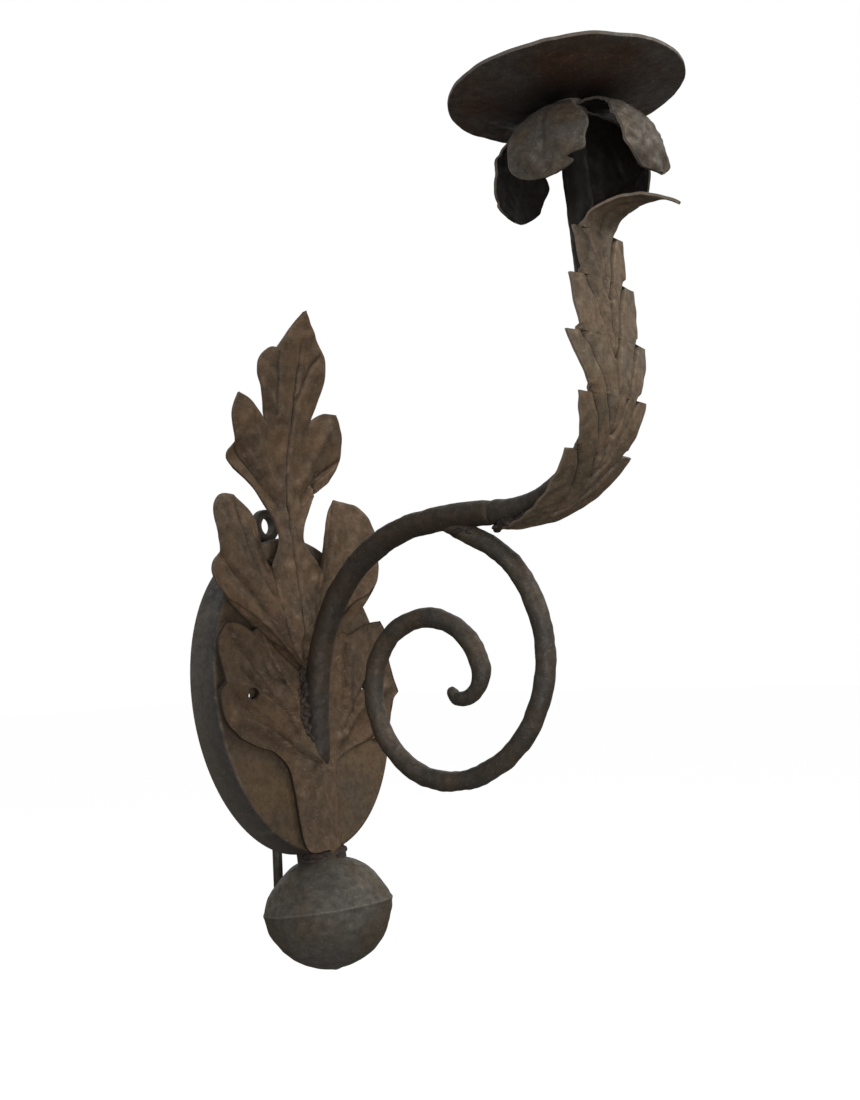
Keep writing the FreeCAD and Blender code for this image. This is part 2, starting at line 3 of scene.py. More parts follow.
import bmesh
import bpy
import numpy as np
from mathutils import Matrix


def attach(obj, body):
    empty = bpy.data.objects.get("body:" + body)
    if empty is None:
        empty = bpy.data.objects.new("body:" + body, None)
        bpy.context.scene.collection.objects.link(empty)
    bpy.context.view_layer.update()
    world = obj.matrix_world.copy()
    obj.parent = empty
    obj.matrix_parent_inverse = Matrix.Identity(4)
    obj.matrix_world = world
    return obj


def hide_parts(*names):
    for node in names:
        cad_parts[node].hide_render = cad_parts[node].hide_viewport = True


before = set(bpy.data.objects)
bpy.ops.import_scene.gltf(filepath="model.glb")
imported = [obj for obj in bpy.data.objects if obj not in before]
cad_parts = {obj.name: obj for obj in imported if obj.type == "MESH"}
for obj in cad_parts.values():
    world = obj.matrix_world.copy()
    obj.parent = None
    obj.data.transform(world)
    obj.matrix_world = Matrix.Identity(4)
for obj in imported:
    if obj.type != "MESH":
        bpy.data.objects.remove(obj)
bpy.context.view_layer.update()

# ---- Camera, floor and light ---------------------------------------------------------------------
# The sconce hangs on a wall that is left out.  It is seen from the left of the room and a little
# below its middle, against plain white, with a pale floor well below it.  The light is soft: a wide
# lamp in the room to the right and above, a weaker one on the left, and one low down that fills the
# undersides.

eye = bpy.data.objects.new("camera", bpy.data.cameras.new("camera"))
eye.data.sensor_width = 36.0
eye.data.lens = 45.303
eye.location = (-0.51605, -0.52263, -0.06619)
eye.rotation_euler = [math.radians(angle) for angle in (93.91, 2.654, -51.375)]
bpy.context.scene.collection.objects.link(eye)
bpy.context.scene.camera = eye
bpy.context.scene.view_settings.view_transform = "Standard"


def linear(code):
    """A colour written as sRGB hex, turned to linear: the foot of the curve is straight, the rest a power."""
    parts = np.array([int(code[k:k + 2], 16) for k in (1, 3, 5)]) / 255
    bent = np.where(parts <= 0.04045, parts / 12.92, ((parts + 0.055) / 1.055) ** 2.4)
    return (*bent.tolist(), 1.0)


def add(tree, kind, inputs=None, **settings):
    """Add one node with its settings; an input is a value, or the socket that feeds it."""
    made = tree.nodes.new(kind)
    for key, value in settings.items():
        setattr(made, key, value)
    for key, value in (inputs or {}).items():
        if isinstance(value, bpy.types.NodeSocket):
            tree.links.new(value, made.inputs[key])
        else:
            made.inputs[key].default_value = value
    return made


# White where the camera, a reflection or a clear surface looks, soft grey as light.
world = bpy.data.worlds.new("white_room")
bpy.context.scene.world = world
world.use_nodes = True
sky = world.node_tree
sky.nodes.clear()
ray = add(sky, "ShaderNodeLightPath")
seen = add(sky, "ShaderNodeMath", {0: ray.outputs["Is Camera Ray"], 1: ray.outputs["Is Glossy Ray"]},
           operation="MAXIMUM")
seen = add(sky, "ShaderNodeMath", {0: seen.outputs[0], 1: ray.outputs["Is Transmission Ray"]},
           operation="MAXIMUM")
soft = add(sky, "ShaderNodeBackground", {"Color": linear("#f4f6f8"), "Strength": 0.08})
white = add(sky, "ShaderNodeBackground", {"Color": (1, 1, 1, 1), "Strength": 1.0})
both = add(sky, "ShaderNodeMixShader", {0: seen.outputs[0], 1: soft.outputs[0], 2: white.outputs[0]})
add(sky, "ShaderNodeOutputWorld", {"Surface": both.outputs[0]})

# The floor: pale matt paint, almost white to the camera, that still keeps a soft shadow.
paint = bpy.data.materials.new("pale_matt_floor")
paint.use_nodes = True
tree = paint.node_tree
tree.nodes.clear()
ray = add(tree, "ShaderNodeLightPath")
glow_share = add(tree, "ShaderNodeMath", {0: ray.outputs["Is Camera Ray"], 1: 0.76}, operation="MULTIPLY")
coat = add(tree, "ShaderNodeMix", {0: ray.outputs["Is Camera Ray"], 6: linear("#8e8c88"),
                                   7: linear("#f6f6f4")}, data_type="RGBA")
matt = add(tree, "ShaderNodeBsdfDiffuse", {"Color": coat.outputs[2]})
glow = add(tree, "ShaderNodeEmission", {"Color": (1, 1, 1, 1), "Strength": 1.28})
both = add(tree, "ShaderNodeMixShader", {0: glow_share.outputs[0], 1: matt.outputs[0], 2: glow.outputs[0]})
add(tree, "ShaderNodeOutputMaterial", {"Surface": both.outputs[0]})
floor_height, floor_half = -0.62, 12.0
floor_mesh = bpy.data.meshes.new("floor")
floor_mesh.from_pydata([(-floor_half, -floor_half, floor_height), (floor_half, -floor_half, floor_height),
                        (floor_half, floor_half, floor_height), (-floor_half, floor_half, floor_height)],
                       [], [(0, 1, 2, 3)])
floor_mesh.materials.append(paint)
floor = bpy.data.objects.new("floor", floor_mesh)
bpy.context.scene.collection.objects.link(floor)

for lamp_name, place, size, power, tint in (
        ("room_lamp", (0.75, -1.45, 1.5), 0.9, 36.0, "#fff9f0"),
        ("left_lamp", (-1.7, -0.9, 0.75), 1.1, 17.0, "#f6f8ff"),
        ("low_lamp", (-0.9, -1.3, -0.5), 0.9, 26.0, "#f8f8ff")):
    light = bpy.data.lights.new(lamp_name, "AREA")
    light.size = size
    light.energy = power
    light.color = linear(tint)[:3]
    lamp = bpy.data.objects.new(lamp_name, light)
    aim = np.array((0.0, -0.12, -0.02)) - np.array(place)
    spin = math.atan2(-aim[0], aim[1])
    lamp.location = place
    lamp.rotation_euler = (math.acos(-aim[2] / np.linalg.norm(aim)), 0.0, spin)
    bpy.context.scene.collection.objects.link(lamp)

# ---- Back plate ----------------------------------------------------------------------------------
# An oval pan pressed from 1.5 mm sheet iron, open to the wall.  Its finish is old wrought iron under
# wax: matt, brown on the front, greyer on the side wall and darker there as painted shade, with dull
# mottling and small light specks.


def waxed_iron(name, ground, warm, dust, cloud=26.0, specks=0.34, rough=(0.52, 0.74), dents=0.18,
               side=None, pan_shade=None, inner_shade=False):
    """Old wrought iron under wax, forged black and rubbed: a ground colour clouded with a warmer one,
    dulled in blots of 4 mm, with dust in the 1.2 mm grain, paler rubbed edges and painted shade in the
    concave hollows.  With side the faces square to the plate take that colour, a greyer tone made
    darker as painted shade.  The last two options paint shade near black: on what lies within two
    distances, in mm, of the middle of the pan, and on what faces the top of the arm."""
    made = bpy.data.materials.new(name)
    made.use_nodes = True
    tree = made.node_tree
    tree.nodes.clear()
    place = add(tree, "ShaderNodeTexCoord").outputs["Object"]
    clouds = add(tree, "ShaderNodeTexNoise", {"Vector": place, "Scale": 1000 / cloud, "Detail": 4.0})
    share = add(tree, "ShaderNodeMapRange", {"Value": clouds.outputs[0], "From Min": 0.38, "From Max": 0.62})
    body = add(tree, "ShaderNodeMix", {0: share.outputs[0], 6: linear(ground), 7: linear(warm)},
               data_type="RGBA")
    # The side walls take a greyer, darker colour: the grey is the iron's tone, the darkness painted shade.
    if side:
        facing = add(tree, "ShaderNodeVectorMath", {0: add(tree, "ShaderNodeNewGeometry").outputs["Normal"],
                                                    1: (0.0, -0.992, -0.125)}, operation="DOT_PRODUCT")
        share = add(tree, "ShaderNodeMapRange", {"Value": facing.outputs["Value"], "From Min": 0.5,
                                                 "From Max": 0.9, "To Min": 1.0, "To Max": 0.0})
        body = add(tree, "ShaderNodeMix", {0: share.outputs[0], 6: body.outputs[2], 7: linear(side)},
                   data_type="RGBA")
    blots = add(tree, "ShaderNodeTexNoise", {"Vector": place, "Scale": 1000 / 4.0, "Detail": 6.0,
                                             "Roughness": 0.68})
    share = add(tree, "ShaderNodeMapRange", {"Value": blots.outputs[0], "From Min": 0.36, "From Max": 0.62,
                                             "To Min": 0.68, "To Max": 1.12})
    body = add(tree, "ShaderNodeMix", {0: 1.0, 6: body.outputs[2], 7: share.outputs[0]},
               data_type="RGBA", blend_type="MULTIPLY")
    grain = add(tree, "ShaderNodeTexNoise", {"Vector": place, "Scale": 1000 / 1.2, "Detail": 3.0,
                                             "Roughness": 0.7})
    share = add(tree, "ShaderNodeMapRange", {"Value": grain.outputs[0], "From Min": 0.58, "From Max": 0.74,
                                             "To Max": specks})
    body = add(tree, "ShaderNodeMix", {0: share.outputs[0], 6: body.outputs[2], 7: linear(dust)},
               data_type="RGBA")
    bend = add(tree, "ShaderNodeNewGeometry").outputs["Pointiness"]
    share = add(tree, "ShaderNodeMapRange", {"Value": bend, "From Min": 0.53, "From Max": 0.6,
                                             "To Max": 0.22})
    body = add(tree, "ShaderNodeMix", {0: share.outputs[0], 6: body.outputs[2], 7: linear(dust)},
               data_type="RGBA")
    # Concave hollows darken to near black: painted shade.
    share = add(tree, "ShaderNodeMapRange", {"Value": bend, "From Min": 0.43, "From Max": 0.492,
                                             "To Min": 0.85, "To Max": 0.0})
    body = add(tree, "ShaderNodeMix", {0: share.outputs[0], 6: body.outputs[2], 7: linear("#120d0a")},
               data_type="RGBA")
    # Painted shade: near black within two distances of a point at the middle of the pan.
    if pan_shade:
        away = add(tree, "ShaderNodeVectorMath", {0: place, 1: (0.0, -0.2029, 0.1702)}, operation="DISTANCE")
        share = add(tree, "ShaderNodeMapRange", {"Value": away.outputs["Value"], "From Min": pan_shade[0] / 1000,
                                                 "From Max": pan_shade[1] / 1000, "To Min": 0.92, "To Max": 0.0})
        body = add(tree, "ShaderNodeMix", {0: share.outputs[0], 6: body.outputs[2], 7: linear("#0b0705")},
                   data_type="RGBA")
    # Painted shade: near black on faces that turn towards a point at the top of the arm, such as the petals'
    # undersides.
    if inner_shade:
        away = add(tree, "ShaderNodeVectorMath", {0: place, 1: (0.0, -0.203, 0.13)}, operation="SUBTRACT")
        facing = add(tree, "ShaderNodeVectorMath", {0: add(tree, "ShaderNodeNewGeometry").outputs["Normal"],
                                                    1: away.outputs[0]}, operation="DOT_PRODUCT")
        share = add(tree, "ShaderNodeMapRange", {"Value": facing.outputs["Value"], "From Min": -0.006,
                                                 "From Max": 0.004, "To Min": 0.9, "To Max": 0.0})
        body = add(tree, "ShaderNodeMix", {0: share.outputs[0], 6: body.outputs[2], 7: linear("#0b0705")},
                   data_type="RGBA")
    polish = add(tree, "ShaderNodeMapRange", {"Value": blots.outputs[0], "From Min": 0.35, "From Max": 0.65,
                                              "To Min": rough[1], "To Max": rough[0]})
    hammer = add(tree, "ShaderNodeTexNoise", {"Vector": place, "Scale": 1000 / 11.0, "Detail": 1.0})
    waves = add(tree, "ShaderNodeBump", {"Strength": dents, "Distance": 0.0012, "Height": hammer.outputs[0]})
    pits = add(tree, "ShaderNodeBump", {"Strength": 0.8, "Distance": 0.00035, "Height": blots.outputs[0],
                                        "Normal": waves.outputs[0]})
    tooth = add(tree, "ShaderNodeBump", {"Strength": 0.6, "Distance": 0.00012, "Height": grain.outputs[0],
                                         "Normal": pits.outputs[0]})
    skin = add(tree, "ShaderNodeBsdfPrincipled", {"Base Color": body.outputs[2], "Metallic": 0.2,
                                                  "Roughness": polish.outputs[0],
                                                  "Specular IOR Level": 0.22,
                                                  "Normal": tooth.outputs[0]})
    add(tree, "ShaderNodeOutputMaterial", {"Surface": skin.outputs[0]})
    return made


def dress(name, material):
    """Give a piece of the frame its finish."""
    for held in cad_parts[name].material_slots:
        held.material = material


# The side colour is the plate's greyer tone, made darker as painted shade.
plate_iron = waxed_iron("waxed_iron_plate", "#453a2d", "#52422f", "#7d7264", dents=0.25, side="#35322e")
dress("back_plate", plate_iron)

# ---- Hanging rod ---------------------------------------------------------------------------------
# A 5 mm round rod forged into a flat eye that hangs on the nail.  It stands upright on the wall, so
# the plate leans on it.  Two short beads hold it, to the plate's rim and to the ball's seam.

lean = math.radians(7.1932)
eye_out, eye_height, rod_radius = 2.0, 90.0, 2.5


def hung(x, out, up):
    """Points given from the plate's back rim, in mm, as the sconce hangs, in m: moved to the eye,
    leaned back about the x axis, and set one rod radius off the wall."""
    x, out, up = np.broadcast_arrays(x, out, up)
    deep, high = eye_out - out, up - eye_height
    y = math.cos(lean) * deep + math.sin(lean) * high - rod_radius
    z = math.cos(lean) * high - math.sin(lean) * deep
    return np.stack([x, y, z], axis=-1) / 1000


bar_iron = waxed_iron("waxed_iron_bar", "#35312b", "#3f362b", "#7d766b", cloud=18.0, rough=(0.45, 0.68))
weld_iron = waxed_iron("raw_weld_iron", "#211d1a", "#2f241c", "#4d443c", cloud=5.0, rough=(0.6, 0.85))
dress("hanging_rod", bar_iron)
dress("rod_welds", weld_iron)

# ---- Ball ----------------------------------------------------------------------------------------
# Two domes pressed from sheet iron and welded at the seam, hanging on a short neck under the plate.
# The seam is ground but still shows as a fine ridge, and the lower dome ends in a small nipple.


def beaten(points, size, seed, waves=14):
    """Soft dents of a size in mm, between -1 and 1: the mean of sine waves in random directions."""
    luck = np.random.default_rng(seed)
    ways = luck.normal(size=(waves, 3))
    ways *= (luck.uniform(0.7, 1.4, waves) * 2 * math.pi / size / np.linalg.norm(ways, axis=1))[:, None]
    swell = np.sin(points @ ways.T + luck.uniform(0, 2 * math.pi, waves))
    return swell.sum(axis=-1) / math.sqrt(waves)


def quads(rows, columns, first=0, wrap=False):
    """The faces of a grid of points numbered row by row; with wrap the last column meets the first."""
    row = np.arange(rows - 1)[:, None] * columns + first
    here = np.arange(columns if wrap else columns - 1)[None, :]
    there = (here + 1) % columns
    return np.stack([row + here, row + there, row + columns + there, row + columns + here],
                    axis=-1).reshape(-1, 4)


def piece(name, points, faces, material, slot, *nodes, sharp=40.0):
    """Make a closed skin of its points and faces, with equal points merged and faces turned outwards,
    and let it stand for nodes of the frame."""
    mesh = bpy.data.meshes.new(name)
    mesh.from_pydata(points.reshape(-1, 3).tolist(), [], faces.tolist())
    work = bmesh.new()
    work.from_mesh(mesh)
    bmesh.ops.remove_doubles(work, verts=work.verts, dist=0.00002)
    bmesh.ops.recalc_face_normals(work, faces=work.faces)
    work.to_mesh(mesh)
    work.free()
    mesh.shade_smooth()
    mesh.set_sharp_from_angle(angle=math.radians(sharp))
    mesh.materials.append(material)
    made = bpy.data.objects.new(name, mesh)
    bpy.context.scene.collection.objects.link(made)
    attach(made, "root")
    if nodes:
        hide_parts(*nodes)
    return made


ball_iron = waxed_iron("waxed_iron_ball", "#45423c", "#463d30", "#7e7a71", cloud=30.0, dents=0.25)
# The neck takes the dark weld iron: partly its raw weld, partly painted shade under the plate.
dress("ball_neck", weld_iron)
ball_radius, ball_sheet, ball_out = 32.4, 1.5, 12.0
upper_rise, lower_rise, neck_gap, plate_foot = 25.2, 30.5, 1.5, -80.75
ball_height = plate_foot - neck_gap - upper_rise
for dome_name, rise, node_name in (("ball_dome_upper", upper_rise, "ball_upper_dome"),
                                   ("ball_dome_lower", -lower_rise, "ball_lower_dome")):
    tall = abs(rise)
    sphere = (ball_radius ** 2 + tall ** 2) / (2 * tall)
    end = math.asin(min(1.0, ball_radius / sphere))
    if tall > ball_radius:
        end = math.pi - end
    down = np.linspace(0.0, 1.0, 70)[:, None]
    bearing = np.linspace(0, 2 * math.pi, 144, endpoint=False)[None, :]
    layers = []
    for inset in (0.0, ball_sheet):
        # A slice of a sphere: radius and height follow the angle from the pole, drawn in by the sheet.
        reach = (sphere - inset) * np.sin(end * down) + 0 * bearing
        drop = (sphere - inset) * np.cos(end * down) - (sphere - tall) + 0 * bearing
        spot = np.stack([reach * np.cos(bearing), reach * np.sin(bearing), drop], axis=-1)
        swell = 0.0
        if not inset:
            swell = 0.32 * beaten(spot, 17.0, 3) + 0.12 * beaten(spot, 7.0, 4)
            swell = swell + 0.35 * np.exp(-((1 - down) * end * sphere / 1.1) ** 2)
            if rise < 0:
                swell = swell + 0.9 * np.exp(-(reach / 3.0) ** 2)
        share = 1 + swell / sphere
        layers.append(hung(reach * share * np.cos(bearing), ball_out + reach * share * np.sin(bearing),
                           ball_height + math.copysign(1.0, rise) * np.maximum(drop * share, 0.0)))
    grid = np.concatenate([layers[0], layers[1][::-1]])
    piece(dome_name, grid, quads(len(grid), 144, wrap=True), ball_iron, "ball_iron", node_name)

# ---- Base leaf -----------------------------------------------------------------------------------
# The lower acanthus leaf, cut from 1.2 mm sheet and chased flat on the plate.  Its stem is raised
# from behind and runs down to the plate's bottom rim; veins and a slit are chiselled in.

sheet = 1.2
plate_front = 17.4


def smooth(stroke, per=11):
    """A smooth line through the points of a stroke: each span is a cubic with the neighbours' slopes."""
    knots = np.array(stroke, float)
    knots = np.concatenate([2 * knots[:1] - knots[1:2], knots, 2 * knots[-1:] - knots[-2:-1]])
    share = np.linspace(0, 1, per, endpoint=False)[:, None, None]
    a, b, c, d = knots[:-3], knots[1:-2], knots[2:-1], knots[3:]
    line = b + 0.5 * share * (c - a + share * (2 * a - 5 * b + 4 * c - d + share * (3 * (b - c) + d - a)))
    return np.concatenate([line.transpose(1, 0, 2).reshape(-1, knots.shape[1]), knots[-2:-1]])


def leaf_grid(left, right, rib, columns=30):
    """A leaf as a grid: every row starts at a place on the rib and bows out like a vein to the outline
    on each side.  An outline's points are (x, up, place on the rib), and strokes meet in corners."""
    sides = []
    for strokes in (left, right):
        line = np.concatenate([smooth(stroke) for stroke in strokes])
        order = np.minimum.accumulate(line[:, 2]) - 1e-6 * np.arange(len(line))
        sides.append((order[::-1], line[::-1]))
    roots = np.unique(np.concatenate([sides[0][0], sides[1][0]]))
    keep = np.concatenate([[True], np.diff(roots) > 2e-7])
    roots = roots[keep]
    middle = np.interp(roots, [place for place, _ in rib], [x for _, x in rib])
    across = np.linspace(0, 1, columns)[None, :]
    halves = []
    for order, line in sides:
        x = np.interp(roots, order, line[:, 0])[:, None]
        up = np.interp(roots, order, line[:, 1])[:, None]
        bow_x = middle[:, None] + 0.72 * (x - middle[:, None])
        bow_up = roots[:, None] + 0.34 * (up - roots[:, None])
        halves.append(((1 - across) ** 2 * middle[:, None] + 2 * across * (1 - across) * bow_x
                       + across ** 2 * x,
                       (1 - across) ** 2 * roots[:, None] + 2 * across * (1 - across) * bow_up
                       + across ** 2 * up))
    grid_x = np.concatenate([halves[0][0][:, :0:-1], halves[1][0]], axis=1)
    grid_up = np.concatenate([halves[0][1][:, :0:-1], halves[1][1]], axis=1)
    edge = np.abs(np.linspace(-1, 1, 2 * columns - 1))[None, :] + 0 * grid_x
    return grid_x, grid_up, edge


def chased(x, up, lines):
    """Chisel lines: each sinks (or lifts) the sheet by a depth that fades as a bell with the distance
    from the line, and runs out at the line's far end."""
    sunk = np.zeros(x.shape)
    for depth, width, *stops in lines:
        knots = smooth(stops, 6)
        start, step = knots[:-1], np.diff(knots, axis=0)
        offset = np.stack([x, up], axis=-1)[..., None, :] - start
        share = np.clip((offset * step).sum(-1) / (step ** 2).sum(-1), 0, 1)
        gap = np.linalg.norm(offset - share[..., None] * step, axis=-1)
        nearest = gap.argmin(-1)
        reach = np.take_along_axis(gap, nearest[..., None], -1)[..., 0]
        along = (nearest + np.take_along_axis(share, nearest[..., None], -1)[..., 0]) / len(step)
        fade = np.clip((1.0 - along) / 0.25, 0, 1) ** 0.5
        sunk += depth * fade * np.exp(-(reach / width) ** 2)
    return sunk


def shell(name, front, back, material, slot, *nodes, open_at=None):
    """A sheet between two grids of points: both faces, and a wall along every edge that only one face
    of the grid has, so also round the faces left out as a hole."""
    rows, columns = front.shape[:2]
    skin = quads(rows, columns)
    if open_at is not None:
        skin = skin[~open_at.reshape(-1)[skin].all(axis=1)]
    first, second = skin.ravel(), np.roll(skin, -1, axis=1).ravel()
    count = rows * columns
    lone = ~np.isin(first * count + second, second * count + first)
    first, second = first[lone], second[lone]
    walls = np.stack([second, first, first + count, second + count], axis=-1)
    points = np.concatenate([front.reshape(-1, 3), back.reshape(-1, 3)])
    return piece(name, points, np.concatenate([skin, skin[:, ::-1] + count, walls]), material, slot, *nodes)


leaf_iron = waxed_iron("waxed_iron_leaf", "#46392a", "#544230", "#85776a", cloud=20.0, specks=0.4)
x, up, edge = leaf_grid(
    left=(((0, 40, 40), (-20, 38, 32), (-37, 31, 14)),
          ((-37, 31, 14), (-47, 36, 8), (-53.1, 36.6, 4)),
          ((-53.1, 36.6, 4), (-59.5, 29, 0), (-59.9, 20.9, -4), (-57.5, 7.9, -9)),
          ((-57.5, 7.9, -9), (-62.3, 2, -12), (-61, -9.5, -16), (-54, -18.5, -20), (-43.3, -24.7, -25)),
          ((-43.3, -24.7, -25), (-32, -28.5, -31), (-24.5, -35, -38), (-21.5, -44, -46),
           (-18, -76.5, -76), (-5.5, -79.6, -79.6))),
    right=(((0, 40, 40), (18, 33, 31), (33.2, 28.4, 20)),
           ((33.2, 28.4, 20), (49.3, 33.9, 12), (59.2, 35.1, 7)),
           ((59.2, 35.1, 7), (62.8, 28.8, 4), (63.2, 9.9, -2), (66.6, -4, -8)),
           ((66.6, -4, -8), (60.8, -9.6, -12), (54, -26, -20), (44, -27.5, -24)),
           ((44, -27.5, -24), (26.3, -30.2, -29), (13, -36.5, -36), (9.5, -46, -46), (6.5, -79, -78.6),
            (-5.5, -79.6, -79.6))),
    rib=((-80, -5.5), (-24, -5.5), (10, -1), (40, 0)), columns=44)
stem_rise = np.interp(up, (-80, -40, -24, -6), (4.2, 4.6, 2.2, 0.0))
stem_half = np.interp(up, (-80, -40, -24, -6), (12, 15, 9, 6))
ridge = stem_rise * np.clip(1 - np.abs((x + 5.5) / stem_half) ** 1.3, 0, 1)
veins = chased(x, up, (
    (-2.0, 1.3, (-16, -12), (-34, 12), (-52, 34)), (1.6, 3.2, (-14, -6), (-32, 20), (-47, 36)),
    (-1.8, 1.2, (-15, -14), (-30, 0), (-46, 14)), (1.5, 3.0, (-16, -18), (-34, -2), (-56, 10)),
    (-2.2, 1.4, (-4, -38), (-26, -20), (-52, 1)), (1.8, 3.0, (-10, -36), (-28, -22), (-56, -8)),
    (-1.4, 0.8, (-12, -6), (-17, 6), (-22, 12), (-30, 30)), (-1.2, 0.7, (-18, 4), (-26, 8), (-33, 20)),
    (-2.4, 0.9, (24, -10), (27, 4), (31, 24)), (1.3, 2.4, (28, -10), (31, 4), (35, 22)),
    (-1.8, 1.4, (14, -38), (29, -33), (52, -24)),
    (-1.5, 1.4, (20, -22), (40, -2), (58, 10)), (1.5, 3.0, (16, -26), (36, -10), (62, 0))))
off_left = 4.2 * edge ** 3 * np.clip((up + 26) / 14, 0, 1) * np.clip(-x / 8 - 1, 0, 1)
stand_off = 1.5 + 1.2 * edge ** 5 * np.clip((up + 40) / 30, 0, 1) + off_left
dents = 0.25 * beaten(np.stack([x, up, 0 * x], axis=-1), 9.0, 11)
front = plate_front + sheet + ridge + stand_off + np.maximum(1.6 * veins, -stand_off - 0.4 - ridge) + dents
# The two screw holes: points inside a hole are pushed out to its rim, and its faces are left out.
hole_out, hole_up, hole_radius = 42.3, 1.0, 2.75
hole = np.hypot(np.abs(x) - hole_out, up - hole_up)
push = np.where(hole < hole_radius, hole_radius / np.maximum(hole, 0.3), 1.0)
x = np.sign(x) * hole_out + (x - np.sign(x) * hole_out) * push
up = hole_up + (up - hole_up) * push
# The lifted edge was read where the camera sees it, so it also moves along the line of sight.
x, up = x - 1.26 * off_left, up - 0.11 * off_left
front = np.maximum(front, plate_front + sheet * 0.6)
# The crest leaf lies on this one, and its lower edge runs in a V: above the V this leaf is beaten flat,
# and over the last 6 mm below it the relief dies away.
crest_low = np.interp(x, (-61, -54.4, -42.8, -29.4, -16, -4, 8, 20, 36.2, 51, 58),
                      (60, 49.3, 41.5, 31.3, 18.5, 9, 18, 32, 44.5, 49.9, 58))
front = np.minimum(front, plate_front + sheet + 0.05 + 1.5 * np.clip(crest_low - up, 0, 6)
                   + 20 * (crest_low - up > 6))
shell("base_leaf_chased", hung(x, front, up), hung(x, front - sheet, up), leaf_iron, "leaf_iron", "base_leaf",
      open_at=hole < hole_radius)

# ---- Crest leaf ----------------------------------------------------------------------------------
# The upper acanthus leaf: one cut and chased sheet that lies on the base leaf, with side lobes that
# stand a little off the plate, and a head that leans out into the room.  Two tacks hold its neck.

x, up, edge = leaf_grid(
    left=(((0, 193.5, 193.5), (-8.2, 184.5, 184), (-15.9, 174.2, 170)),
          ((-15.9, 174.2, 170), (-22.3, 172.9, 163), (-28.1, 165.5, 152), (-24.1, 153.4, 140),
           (-18, 138.3, 126)),
          ((-18, 138.3, 126), (-27.5, 146, 123), (-38.4, 150.4, 120)),
          ((-38.4, 150.4, 120), (-41.3, 141, 116), (-35.3, 127.7, 107)),
          ((-35.3, 127.7, 107), (-38.4, 120, 102), (-23.5, 103.7, 92), (-12.5, 85, 81), (-11.5, 76, 70),
           (-17, 63, 44)),
          ((-17, 63, 44), (-25.8, 76.5, 36), (-30.5, 91.6, 30), (-39.3, 100.4, 27)),
          ((-39.3, 100.4, 27), (-47.5, 100.5, 26), (-53.5, 95, 25), (-55.1, 84.1, 23.5), (-51.6, 70.9, 22)),
          ((-51.6, 70.9, 22), (-57.7, 61.7, 20.5), (-50.4, 49.3, 18.5), (-38.8, 41.5, 16.5),
           (-25.4, 31.3, 14.5), (-13, 18.5, 12), (-4, 9, 9))),
    right=(((0, 193.5, 193.5), (13.9, 178.6, 180), (21, 170, 168), (20.4, 157.4, 148), (14.3, 141.2, 128)),
           ((14.3, 141.2, 128), (23, 145.5, 124), (33.3, 145.9, 119)),
           ((33.3, 145.9, 119), (40, 136, 115), (40.4, 122, 108), (32.1, 111.3, 100)),
           ((32.1, 111.3, 100), (20.6, 104.5, 93), (9.5, 87.1, 83), (8.6, 76, 72), (15.5, 62, 45)),
           ((15.5, 62, 45), (19.8, 75.6, 37), (24.2, 88, 32), (33.9, 101.4, 29)),
           ((33.9, 101.4, 29), (53.8, 97.7, 26), (61.5, 84.7, 23.5), (59.6, 60, 21), (51, 49.9, 18.5)),
           ((51, 49.9, 18.5), (36.2, 44.5, 16.5), (20, 32, 14), (8, 18, 11.5), (-4, 9, 9))),
    rib=((9, -4), (43, -0.5), (110, -1.5), (165, 0), (193.5, 0)), columns=40)
flat_end, bend_radius, bend_angle = 91.5, 105.0, math.radians(20)
bend_up = flat_end + bend_radius * math.sin(bend_angle)
bent = bend_radius - np.sqrt(bend_radius ** 2 - np.clip(up - flat_end, 0, bend_up - flat_end) ** 2)
leaning = plate_front + 2 * sheet + bent + math.tan(bend_angle) * np.maximum(up - bend_up, 0)
veins = chased(x, up, (
    (-2.6, 1.3, (-2, 16), (-0.5, 43), (-1.5, 108), (0, 150), (0, 180)),
    (2.0, 4.0, (-2, 30), (-1, 60), (-1.5, 108), (0, 150)),
    (-1.5, 1.5, (-12, 142), (-13, 158), (-15.5, 172)), (1.5, 3.0, (-6, 140), (-20, 150), (-24, 166)),
    (-3.6, 1.8, (-8, 96), (-22, 112), (-35.3, 127.7)), (2.0, 3.4, (-8, 104), (-24, 126), (-36, 146)),
    (-2.3, 1.4, (10, 100), (22, 112), (40, 123)), (1.7, 3.2, (8, 106), (22, 128), (32, 142)),
    (-2.4, 0.8, (20, 104), (20.5, 110), (21.5, 116)), (-1.5, 1.4, (2, 150), (8, 165), (15, 174)),
    (-2.2, 1.4, (-13, 42), (-28, 66), (-40, 98)), (2.2, 3.6, (-16, 38), (-38, 66), (-50, 92)),
    (-3.2, 1.5, (-4, 13), (-28, 44), (-51.6, 70.9)), (1.9, 3.0, (-8, 14), (-30, 36), (-54, 58)),
    (-2.1, 1.4, (12, 36), (22, 62), (33, 98)), (2.0, 4.0, (16, 34), (36, 60), (50, 90)),
    (-2.4, 1.3, (0, 14), (10, 34), (15.5, 62)), (-1.9, 1.3, (-6, 16), (-13, 40), (-17, 63))))
above = np.clip((up - 14) / 20, 0, 1)
lift = 1.6 + 3.4 * edge ** 3 * above * np.clip((104 - up) / 20, 0, 1) * np.clip(np.abs(x) / 8 - 1, 0, 1)
slide = 3.4 * edge ** 4 * above * np.clip((80 - up) / 12, 0, 1) * np.clip(-x / 8 - 1, 0, 1)
curl = -1.6 * edge ** 4 * np.clip((up - 104) / 20, 0, 1)
side_curl = -4.5 * np.exp(-((x + 37) / 9) ** 2 - ((up - 118) / 10) ** 2)
dents = 0.3 * beaten(np.stack([x, up, 0 * x], axis=-1), 10.0, 21)
front = leaning + np.maximum(veins, -1.5 - lift) + lift + curl + side_curl + dents
front = np.maximum(front, plate_front + 2 * sheet + 0.1)
x, up = x - 1.26 * slide, up - 0.11 * slide
shell("crest_leaf_chased", hung(x, front, up), hung(x, front - sheet, up), leaf_iron, "leaf_iron",
      "crest_leaf")


